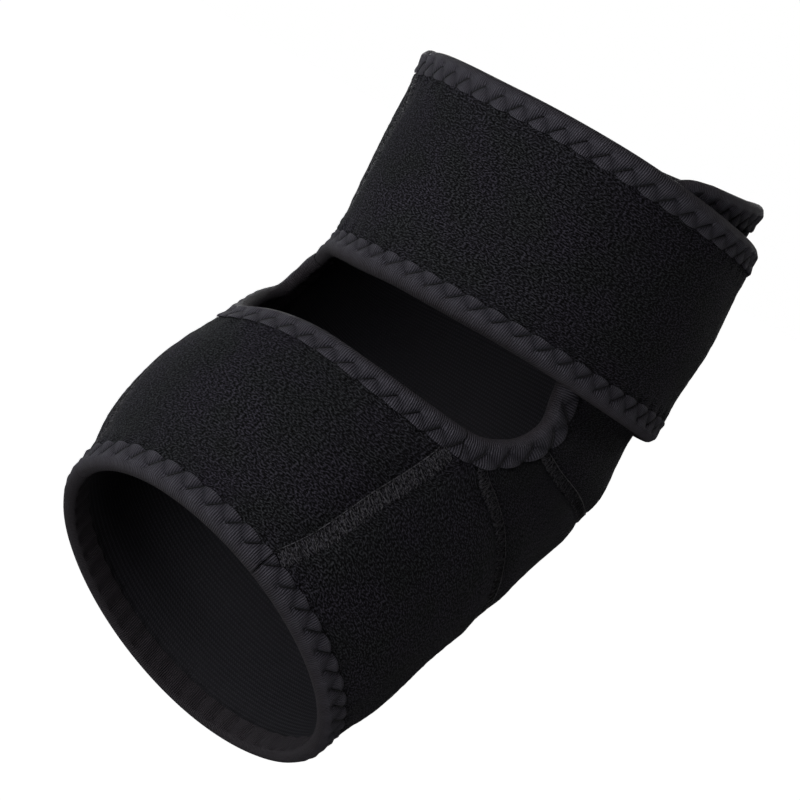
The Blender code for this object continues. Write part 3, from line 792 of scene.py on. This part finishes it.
class Ribbon:
    """Places beside a line on the arm: how far along it, across it to its left, and out."""

    def __init__(self, layer, path, low, high):
        self.line = even(path, TAPE_STEP)
        self.along = lengths(self.line)
        self.pitch = self.along[-1] / round(self.along[-1] / STITCH_PITCH)
        self.across = np.linspace(low, high, round((high - low) / RIBBON_STEP) + 1)
        line = inset(self.line, low)
        nets = []
        for step in (*np.diff(self.across), 0.0):
            nets.append(layer(line))
            line = inset(line, step)
        self.base = np.array([base for base, _ in nets])
        self.normal = np.array([normal for _, normal in nets])
        self.tree = search_tree(form(self.line))

    def point(self, along, across, height):
        """Points and normals at some places."""
        along, across, height = np.broadcast_arrays(along, across, height)
        column = np.interp(along, self.along, np.arange(len(self.along)))
        row = np.interp(across, self.across, np.arange(len(self.across)))
        i = np.clip(np.floor(row).astype(int), 0, len(self.across) - 2)
        j = np.clip(np.floor(column).astype(int), 0, len(self.along) - 2)
        u, v = (row - i)[..., None], (column - j)[..., None]
        base, normal = (
            (1 - u) * ((1 - v) * net[i, j] + v * net[i, j + 1])
            + u * ((1 - v) * net[i + 1, j] + v * net[i + 1, j + 1])
            for net in (self.base, self.normal)
        )
        return base + height[..., None] * normal, normal


def bind(name, ribbon):
    """A tape folded over a rim, puffed and creased by its stitches."""
    s = ribbon.along[:, None]
    edge = tape_edge(ribbon, s)
    outer = edge + (FOLD - edge) * np.linspace(0, 1, OUTER_COLUMNS) ** OUTER_SPREAD
    lip = TAPE_LIP * bell(edge - outer, TAPE_LIP_WIDTH)
    drawn = tape_relief(ribbon, s, outer)
    turn = np.radians(np.linspace(90, -90, FOLD_COLUMNS + 2)[1:-1])
    inner_puff = PUFF * (1 - np.cos(2 * np.pi * s / ribbon.pitch)) / 2
    cavity, lip_at = HEM - TAPE, TAPE_WIDTH - SCALLOP
    profile = (
        (outer, HEM + drawn - lip),
        (FOLD * (1 - np.cos(turn)), HEM * np.sin(turn)),
        (np.linspace(FOLD, TAPE_WIDTH, INNER_COLUMNS), inner_puff * np.ones(INNER_COLUMNS) - HEM),
        ((TAPE_WIDTH, FOLD, TAPE, FOLD, lip_at), (-cavity, -cavity, 0.0, cavity, cavity)),
    )
    across, height = (
        np.concatenate([np.broadcast_to(x, (len(s), np.shape(x)[-1])) for x in stretches], 1)
        for stretches in zip(*profile)
    )
    points = ribbon.point(s, across, height)[0]
    steps = np.hypot(np.diff(across), np.diff(height))
    girth = np.concatenate((np.zeros_like(s), steps.cumsum(1)), 1)
    uv = np.stack((np.broadcast_to(s, across.shape), girth), -1).reshape(-1, 2)
    # the relief, which the tape's material also turns into painted shade in its creases and holes
    relief = np.full(across.shape, PUFF)
    relief[:, :OUTER_COLUMNS] = np.where(outer > 2 * FOLD, drawn, np.maximum(drawn, PUFF / 2))
    relief = relief.ravel() / PUFF
    points, faces = points.reshape(-1, 3), closed_faces(*across.shape)
    piece = put_mesh(name + "_tape", points, faces, [MATERIALS["tape"]], uv=uv, relief=relief)
    return dress(piece, "knit_tape", name)


def zigzag(name, ribbon):
    """The thread that zigzags between the needle holes and the notches of a tape."""
    half = ribbon.pitch / 2
    count = round(ribbon.along[-1] / half)
    t = np.linspace(0, count, count * THREAD_COLUMNS + 1)
    swing = np.abs((t % 2) - 1)
    across = NOTCH_AT + (HOLE_AT - NOTCH_AT) * swing
    along = t * half
    on_weak = smooth(np.minimum(t % 2 - 1, 2 - t % 2) / DIVE_EASE)
    to_turn = (t + 0.5) % 1 - 0.5
    dive = DIVE * (bell(to_turn, DIVE_WIDTH) + on_weak)
    height = HEM + tape_relief(ribbon, along, across) + THREAD_LIFT - dive
    points, normals = ribbon.point(along, across, height)
    piece = join_tubes(name, [tube(points, normals, THREAD)], MATERIALS["thread"])
    return dress(piece, "seam_thread")


# The seams

def stitch_seam(name, ribbon, width, sunk, material):
    """Crossing threads over a seam, on a thin strip, with a straight one along its edge."""
    s = ribbon.along[:, None]
    across = np.linspace(-width / 2, width / 2, SEAM_COLUMNS)[None]
    dome = 1 - (2 * across / width) ** 2
    height = CLOTH / 2 + sunk + SEAM_TAPE * dome + np.zeros_like(s)
    outer, _ = ribbon.point(s, across, height)
    inner, _ = ribbon.point(s, across, height - SEAM_TAPE)
    uv = np.stack(np.broadcast_arrays(s, across), -1)
    nets = [net[:, ::-1] for net in (outer, inner, uv)]
    strip = shell(name + "_strip", *nets, [MATERIALS[material + "_bed"]] * 2)
    dress(strip, "seam_thread", name)
    tubes = []
    total = ribbon.along[-1]
    for reach, pitch, shift, lift in SEAM_LAYERS[1:]:
        t = np.arange(0, total / pitch * 2, 1 / SEAM_THREAD_COLUMNS)
        swing = 2 * np.abs(((t + shift) % 2) - 1) - 1
        across = reach * width / 2 * np.sin(np.pi / 2 * swing)
        rise = np.sqrt(np.clip(1 - (2 * across / width) ** 2, 0, 1))
        stand = SEAM_TAPE * (SEAM_FLATNESS + (1 - SEAM_FLATNESS) * rise)
        height = CLOTH / 2 + sunk + stand + lift * SEAM_THREAD
        points, normals = ribbon.point(np.clip(t * pitch / 2, 0, total), across, height)
        tubes.append(tube(points, normals, SEAM_THREAD))
    points, normals = ribbon.point(ribbon.along, width / 2, CLOTH / 2 + sunk + SEAM_TAPE)
    tubes.append(tube(points, normals, SEAM_THREAD))
    threads = join_tubes(name + "_threads", tubes, MATERIALS[material])
    return strip, dress(threads, "seam_thread")


# The materials

class Look:
    """A material of nodes on top of a Principled shader."""

    def __init__(self, name, **sockets):
        self.material = bpy.data.materials.new(name)
        self.material.use_nodes = True
        self.tree = self.material.node_tree
        self.shader = self.tree.nodes["Principled BSDF"]
        self.give(self.shader, sockets)

    def give(self, node, sockets):
        for key, value in sockets.items():
            socket = node.inputs[key if isinstance(key, int) else key.replace("_", " ")]
            if isinstance(value, bpy.types.NodeSocket):
                self.tree.links.new(value, socket)
            else:
                socket.default_value = value

    def node(self, kind, sockets=None, **settings):
        node = self.tree.nodes.new("ShaderNode" + kind)
        for key, value in settings.items():
            setattr(node, key, value)
        self.give(node, sockets or {})
        return node

    def place(self, kind="Object"):
        return self.node("TexCoord").outputs[kind]

    def math(self, operation, *values):
        return self.node("Math", dict(enumerate(values)), operation=operation).outputs[0]

    def noise(self, place, scale, detail=2.0):
        sockets = {"Vector": place, "Scale": scale, "Detail": detail}
        return self.node("TexNoise", sockets).outputs[0]

    def loops(self, scale):
        """Loops of yarn, whose scale differs along and across the cloth."""
        lie = self.node("Mapping", {"Vector": self.place("UV"), "Scale": scale}).outputs[0]
        return self.noise(lie, 1.0)

    def wave(self, place, pitch, direction, distortion):
        """Bands that follow one another along a direction, a pitch apart."""
        sockets = {"Vector": place, "Scale": WAVE_UNIT / pitch}
        sockets.update({"Distortion": distortion, "Detail Scale": 2.0})
        return self.node("TexWave", sockets, bands_direction=direction).outputs[1]

    def ramp(self, value, *stops):
        node = self.node("ValToRGB", {0: value})
        elements = node.color_ramp.elements
        while len(elements) < len(stops):
            elements.new(0.5)
        for element, (position, colour) in zip(elements, stops):
            element.position = position
            element.color = (*colour, 1.0)
        return node.outputs[0]

    def multiply(self, colour, tint):
        sockets = {0: 1.0, 6: colour, 7: tint}
        return self.node("Mix", sockets, data_type="RGBA", blend_type="MULTIPLY").outputs[2]

    def bump(self, height, distance, strength=1.0):
        sockets = {"Height": height, "Distance": distance, "Strength": strength}
        return self.node("Bump", sockets).outputs[0]

    def finish(self, **sockets):
        self.give(self.shader, sockets)
        return self.material


def pile_look():
    """Short worm-like loops of black yarn with dark gaps between them."""
    look = Look("pile_cloth_look", Roughness=0.85, Specular_IOR_Level=0.08, Sheen_Weight=0.008)
    look.finish(Sheen_Roughness=0.4, Sheen_Tint=(0.85, 0.95, 1.0, 1.0))
    loops = look.loops(PILE_SCALE)
    colour = look.ramp(loops, (0.39, PILE_DARK), (0.50, PILE_MIDDLE), (0.61, PILE_LIGHT))
    slow = look.noise(look.place(), MOTTLE_SCALE, detail=1.0)
    tint = look.ramp(slow, (0.35, MOTTLE_GREEN), (0.65, MOTTLE_PURPLE))
    colour = look.multiply(colour, tint)
    return look.finish(Base_Color=colour, Normal=look.bump(loops, distance=0.0008))


def tape_look():
    """Fine ribs across the tape, with painted shade at its fold and in its creases and holes."""
    look = Look("knit_tape_look", Roughness=0.75, Specular_IOR_Level=0.12, Sheen_Weight=0.02)
    look.finish(Sheen_Roughness=0.4, Sheen_Tint=(0.92, 0.92, 1.0, 1.0))
    uv = look.place("UV")
    fibres = look.noise(look.place(), FIBRE_SCALE)
    ribs = look.wave(uv, RIB_PITCH, "X", distortion=1.8)
    height = look.math("ADD", ribs, look.math("MULTIPLY", fibres, FIBRE_SHARE))
    colour = look.ramp(height, (0.25, TAPE_DARK), (1.0, TAPE_LIGHT))
    # painted shade that darkens the tape towards its fold
    over = look.math("MULTIPLY", look.node("SeparateXYZ", {0: uv}).outputs[1], CENTIMETRES)
    fold = look.ramp(over, (FOLD_SHADE_START, UNCHANGED), (FOLD_SHADE_FULL, FOLD_SHADE))
    # painted shade in the creases and needle holes, darkest where the relief is lowest
    relief = look.node("Attribute", attribute_name="relief").outputs[2]
    level = look.math("MULTIPLY_ADD", relief, 0.5, 0.5)
    drawn = look.ramp(level, (0.0, PIT_SHADE), (0.4, CREASE_SHADE), (0.85, UNCHANGED))
    colour = look.multiply(look.multiply(colour, fold), drawn)
    return look.finish(Base_Color=colour, Normal=look.bump(height, distance=0.00026))


def bed_look(name, brightness):
    """The bed under a seam's threads, with loops as fine as the pile's, but lighter."""
    look = Look(name, Roughness=0.8, Specular_IOR_Level=0.1)
    loops = look.loops((PILE_SCALE[1], PILE_SCALE[0], 1.0))
    colours = brightness * np.array((PILE_DARK, PILE_MIDDLE, PILE_LIGHT))
    colour = look.ramp(loops, *zip((0.40, 0.50, 0.60), colours))
    return look.finish(Base_Color=colour, Normal=look.bump(loops, distance=0.0006))


def thread_look(name, dark, light, scale, contrast):
    look = Look(name, Roughness=0.6, Specular_IOR_Level=0.2)
    twist = look.noise(look.place(), scale)
    colour = look.ramp(twist, (0.5 - contrast, dark), (0.5 + contrast, light))
    return look.finish(Base_Color=colour, Normal=look.bump(twist, 0.0001, strength=0.6))


def lining_look():
    """The smooth knit of the inner face."""
    look = Look("lining_look", Roughness=0.75, Specular_IOR_Level=0.15)
    uv = look.place("UV")
    courses = look.wave(uv, KNIT_PITCH, "X", distortion=0.6)
    wales = look.wave(uv, KNIT_ROW_PITCH, "Y", distortion=0.6)
    knit = look.math("MULTIPLY", courses, wales)
    colour = look.ramp(knit, (0.0, LINING_DARK), (1.0, LINING_LIGHT))
    return look.finish(Base_Color=colour, Normal=look.bump(knit, 0.0002, strength=0.7))


def hook_look():
    """Small hooks, light at their middles."""
    look = Look("hook_tape_look", Roughness=0.5, Specular_IOR_Level=0.3)
    sockets = {"Vector": look.place(), "Scale": HOOK_SCALE}
    hooks = look.node("TexVoronoi", sockets, feature="F1").outputs["Distance"]
    colour = look.ramp(hooks, (0.0, HOOK_LIGHT), (0.6, HOOK_DARK))
    return look.finish(Base_Color=colour, Normal=look.bump(hooks, 0.0004, strength=0.8))


MATERIALS = {
    "pile": pile_look(),
    "lining": lining_look(),
    "tape": tape_look(),
    "thread": thread_look("thread_look", THREAD_DARK, THREAD_LIGHT, 1500.0, 0.15),
    "seam": thread_look("seam_look", SEAM_DARK, SEAM_LIGHT, 2100.0, 0.07),
    "gusset_seam": thread_look("gusset_seam_look", THREAD_DARK, GUSSET_SEAM_LIGHT, 2100.0, 0.08),
    "seam_bed": bed_look("seam_bed_look", brightness=2.0),
    "gusset_seam_bed": bed_look("gusset_seam_bed_look", brightness=1.4),
    "hook": hook_look(),
}


# The pieces

ON_BODY = {
    "start": 0.0,
    "corner": place(BODY, PANEL_CORNER_TURN, PANEL_CORNER_RISE * UPPER_LENGTH),
    "upper near": place(BODY, *GUSSET_UPPER[0]),
    "lower near": place(BODY, *GUSSET_LOWER[0]),
    "strap near": place(BODY, *SEAM_NEAR[-1]),
    "strap far": place(BODY, *SEAM_FAR[-1]),
    "lower far": place(BODY, *GUSSET_LOWER[-1]),
    "upper far": place(BODY, *GUSSET_UPPER[-1]),
    "root": lengths(BODY)[-1] - CLOTH_INSET,
    "end": lengths(BODY)[-1],
}


def rim_part(start, end):
    return part_of(BODY, ON_BODY[start], ON_BODY[end])


def rim_cloth(start, end):
    """The cloth's edge inside the tape between two places, up to the seams there."""
    return inset(part_of(BODY, ON_BODY[start] + SEAM_EDGE, ON_BODY[end] - SEAM_EDGE), CLOTH_INSET)


def cuff_cloth(start, end):
    """The same inside the cuff's tape, between two angles."""
    return inset(trimmed(cuff_rim(start, end), SEAM_EDGE, SEAM_EDGE), CLOTH_INSET)


def seam_cloth(seam):
    """The edges of the cloths to the left and right of a seam."""
    path = trimmed(seam, CLOTH_INSET, CLOTH_INSET)
    return inset(path, SEAM_EDGE), inset(path, -SEAM_EDGE)


NEAR_TURN, FAR_TURN = SEAM_NEAR[0, 0], SEAM_FAR[0, 0]
RIBBONS = {}
for name, layer, path in (
    ("body_binding", body_layer, rim_part("start", "strap near")),
    ("lower_strap_binding", body_layer, rim_part("strap near", "strap far")),
    ("window_binding_far", body_layer, rim_part("strap far", "end")),
    ("upper_strap_binding", strap_layer, STRAP),
    ("cuff_binding_strap", body_layer, cuff_rim(FAR_TURN, NEAR_TURN)),
    ("cuff_binding_panel", body_layer, cuff_rim(NEAR_TURN, FAR_TURN + 360.0)),
):
    path = trimmed(path, GAP / 2, GAP / 2)
    RIBBONS[name] = Ribbon(layer, path, 0.0, TAPE_WIDTH + 2 * SCALLOP)
TAPES = {name: bind(name, ribbon) for name, ribbon in RIBBONS.items()}
THREADS = {name: zigzag(name + "_thread", ribbon) for name, ribbon in RIBBONS.items()}

FLAT_KIND = (FLAT_SEAM_WIDTH, FLAT_SEAM_RISE, "seam")
GUSSET_KIND = (GUSSET_SEAM_WIDTH, GUSSET_SEAM_RISE, "gusset_seam")
SEAM_PIECES = {}
for name, seam, (width, rise, material) in (
    ("lower_strap_seam_near", SEAM_NEAR, FLAT_KIND),
    ("lower_strap_seam_far", SEAM_FAR, FLAT_KIND),
    ("upper_strap_seam", ROOT, FLAT_KIND),
    ("gusset_seam_upper", GUSSET_UPPER, GUSSET_KIND),
    ("gusset_seam_lower", GUSSET_LOWER, GUSSET_KIND),
):
    fine = even(seam, TAPE_STEP)
    clear = look_up(RIM_TREE, form(fine))[1] > TAPE_WIDTH
    ribbon = Ribbon(body_layer, fine[clear], -width / 2, width / 2)
    SEAM_PIECES[name] = stitch_seam(name, ribbon, width, rise, material)


def tapes(*names):
    return [pieces[name] for name in names for pieces in (TAPES, THREADS)]


def seams(*names):
    return [piece for name in names for piece in SEAM_PIECES[name]]


def lay_body():
    """The gusset, the lower panel, the lower strap and the upper panel."""
    names = ("body_binding", "lower_strap_binding", "window_binding_far")
    upper_ribbons = [RIBBONS[name] for name in names]
    lower_ribbons = [*upper_ribbons, RIBBONS["cuff_binding_strap"], RIBBONS["cuff_binding_panel"]]
    near_left, near_right = seam_cloth(SEAM_NEAR)
    far_left, far_right = seam_cloth(SEAM_FAR)
    upper_left, upper_right = seam_cloth(GUSSET_UPPER)
    lower_left, lower_right = seam_cloth(GUSSET_LOWER)

    near_rim = rim_cloth("upper near", "lower near")[::-1]
    far_rim = far(rim_cloth("lower far", "upper far"))
    edges = (lower_left, upper_right, near_rim, far_rim)
    trim = seams("gusset_seam_upper", "gusset_seam_lower")
    lay_cloth("elbow_gusset", body_layer, edges, upper_ribbons)

    near_rim = rim_cloth("lower near", "strap near")[::-1]
    far_rim = far(rim_cloth("strap far", "lower far")[::-1])
    top = np.concatenate((near_rim[:-1], lower_right, far_rim[1:]))
    edges = (cuff_cloth(NEAR_TURN, FAR_TURN + 360.0), top, near_right, far(far_left))
    trim = tapes("cuff_binding_panel")
    lay_cloth("lower_panel", body_layer, edges, lower_ribbons)

    top = rim_cloth("strap near", "strap far")[::-1]
    edges = (cuff_cloth(FAR_TURN, NEAR_TURN), top, far_right, near_left)
    trim = tapes("lower_strap_binding", "cuff_binding_strap")
    trim += seams("lower_strap_seam_near", "lower_strap_seam_far")
    lay_cloth("lower_strap", body_layer, edges, lower_ribbons)

    right = far(np.concatenate((rim_cloth("upper far", "root"), seam_cloth(ROOT)[0])))
    left = rim_cloth("corner", "upper near")[::-1]
    top = rim_cloth("start", "corner")[::-1]
    edges = (upper_left, top, left, right)
    trim = tapes("body_binding", "window_binding_far")
    lay_cloth("upper_panel", body_layer, edges, upper_ribbons)


def lay_strap():
    """The upper strap, from its root to its free end."""
    turn = STRAP_END - STRAP_CORNER / ONE_DEGREE
    corner_low = place(STRAP, turn, STRAP_LOWER_EDGE)
    corner_high = place(STRAP, turn, strap_top(turn))
    low = inset(part_of(STRAP, 0.0, corner_low), CLOTH_INSET)
    end = inset(part_of(STRAP, corner_low, corner_high), CLOTH_INSET)
    top = inset(part_of(STRAP, corner_high, lengths(STRAP)[-1]), CLOTH_INSET)[::-1]
    edges = (low, top, seam_cloth(ROOT)[1], end)
    ribbons = [RIBBONS["upper_strap_binding"]]
    lay_cloth("upper_strap", strap_layer, edges, ribbons)


def lay_hooks():
    """The hook fastener inside the strap's free end, which grips the panel's pile."""
    clear = CLOTH_INSET + TAPE_WIDTH
    turn = STRAP_END - clear / ONE_DEGREE
    columns = np.linspace(turn - HOOK_TURN, turn, HOOK_COLUMNS)
    rows = np.linspace(0, 1, HOOK_ROWS)[:, None]
    low = STRAP_LOWER_EDGE + clear
    s = low + (strap_top(columns) - clear - low) * rows
    net = np.stack((np.broadcast_to(columns, s.shape), s), -1)
    base, normal = strap_layer(net)
    outer = base - (CLOTH / 2 + GAP) * normal
    inner = base - (CLOTH / 2 + GAP + HOOK) * normal
    uv = np.stack((net[..., 0] * ONE_DEGREE, net[..., 1]), -1)
    piece = shell("hook_patch_hooks", outer, inner, uv, [MATERIALS["hook"]] * 2)
    dress(piece, "hook_tape", "hook_patch")


lay_body()
lay_strap()
lay_hooks()


# The floor, the lights and the camera

def direction(azimuth, elevation):
    """From what a light or the camera looks at towards it."""
    a, e = math.radians(azimuth), math.radians(elevation)
    return Vector((math.sin(a) * math.cos(e), -math.cos(a) * math.cos(e), math.sin(e)))


def area_light(name, azimuth, elevation, power, colour):
    light = bpy.data.lights.new(name, "AREA")
    light.shape = "DISK"
    light.size = LIGHT_SIZE
    light.energy = power
    light.color = colour
    back = direction(azimuth, elevation)
    obj = put(name, light)
    obj.location = CENTRE + back * LIGHT_DISTANCE
    obj.rotation_euler = back.to_track_quat("Z", "Y").to_euler()


def set_stage():
    mesh = bpy.data.meshes.new("floor")
    r = FLOOR_SIZE / 2
    mesh.from_pydata([(-r, -r, 0), (r, -r, 0), (r, r, 0), (-r, r, 0)], [], [(0, 1, 2, 3)])
    floor = put("floor", mesh)
    floor.location = (0, 0, FLOOR_HEIGHT)
    look = Look("floor_look", Roughness=0.9, Base_Color=FLOOR_COLOUR)
    mesh.materials.append(look.finish(Emission_Color=WHITE, Emission_Strength=1.0))
    floor.visible_diffuse = False
    floor.visible_glossy = False
    world = bpy.data.worlds.new("studio")
    world.use_nodes = True
    tree = world.node_tree
    seen = tree.nodes.new("ShaderNodeLightPath").outputs["Is Camera Ray"]
    strength = tree.nodes.new("ShaderNodeMapRange")
    strength.inputs["To Min"].default_value = WORLD_LIGHT
    tree.links.new(seen, strength.inputs["Value"])
    tree.links.new(strength.outputs[0], tree.nodes["Background"].inputs["Strength"])
    tree.nodes["Background"].inputs["Color"].default_value = WHITE
    bpy.context.scene.world = world
    for name, *values in LIGHTS[1:]:
        area_light(name, *values)


def set_camera():
    """The photograph's view: the camera is turned about the object's origin, and rolled."""
    a, r = math.radians(CAMERA_AZIMUTH), math.radians(CAMERA_ROLL)
    back = direction(CAMERA_AZIMUTH, CAMERA_ELEVATION)
    level = Vector((math.cos(a), math.sin(a), 0.0))
    rise = back.cross(level)
    right = level * math.cos(r) + rise * math.sin(r)
    up = rise * math.cos(r) - level * math.sin(r)
    away = back - right * ORIGIN_LEFT - up * ORIGIN_LOW
    away.normalize()
    right = up.cross(away).normalized()
    up = away.cross(right)
    camera = bpy.data.cameras.new("camera")
    camera.lens = CAMERA_LENS
    camera.sensor_width = CAMERA_SENSOR
    obj = put("camera", camera)
    turned = Matrix((right, up, away)).transposed().to_4x4()
    obj.matrix_world = Matrix.Translation(back * CAMERA_DISTANCE) @ turned
    bpy.context.scene.camera = obj


set_stage()
set_camera()
bpy.context.scene.view_settings.view_transform = "Standard"
